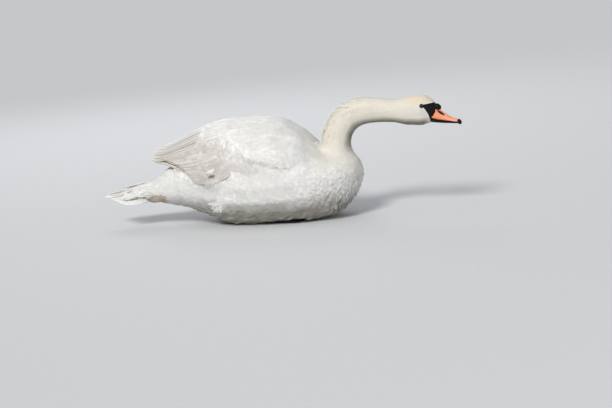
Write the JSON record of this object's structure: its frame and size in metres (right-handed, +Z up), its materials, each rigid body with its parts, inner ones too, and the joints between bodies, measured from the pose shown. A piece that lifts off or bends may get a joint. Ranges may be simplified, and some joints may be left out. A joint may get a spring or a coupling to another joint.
{
  "type": "mute swan",
  "caption": "Life-size mute swan resting on its belly with folded wings, neck arched forward and head held level.",
  "frame": {"origin": "on the floor under the middle of the length from tail tip to bill tip", "axes": "+X towards the bill, +Y to the bird's left, +Z up"},
  "size_m": [1.1263, 0.336, 0.3537],
  "materials": {
    "white_plumage": "matte",
    "cream_plumage": "matte",
    "flight_feathers": "matte",
    "bill_orange": "satin",
    "horn_black": "satin",
    "leg_skin": "matte",
    "eye_dark": "gloss"
  },
  "bodies": {
    "root": {"trunk": "white_plumage", "neck_lower": "cream_plumage", "neck_middle": "cream_plumage", "neck_upper": "cream_plumage", "head": "cream_plumage", "bill_upper": "bill_orange", "bill_lower": "horn_black", "bill_knob": "horn_black", "bill_nail": "horn_black", "tail": "white_plumage", "eye_left": "eye_dark", "wing_left": "white_plumage", "primaries_left": "flight_feathers", "leg_left": "leg_skin", "foot_left": "leg_skin", "claw_inner_left": "horn_black", "claw_middle_left": "horn_black", "claw_outer_left": "horn_black", "eye_right": "eye_dark", "wing_right": "white_plumage", "primaries_right": "flight_feathers", "leg_right": "leg_skin", "foot_right": "leg_skin", "claw_inner_right": "horn_black", "claw_middle_right": "horn_black", "claw_outer_right": "horn_black"}
  },
  "joints": []
}
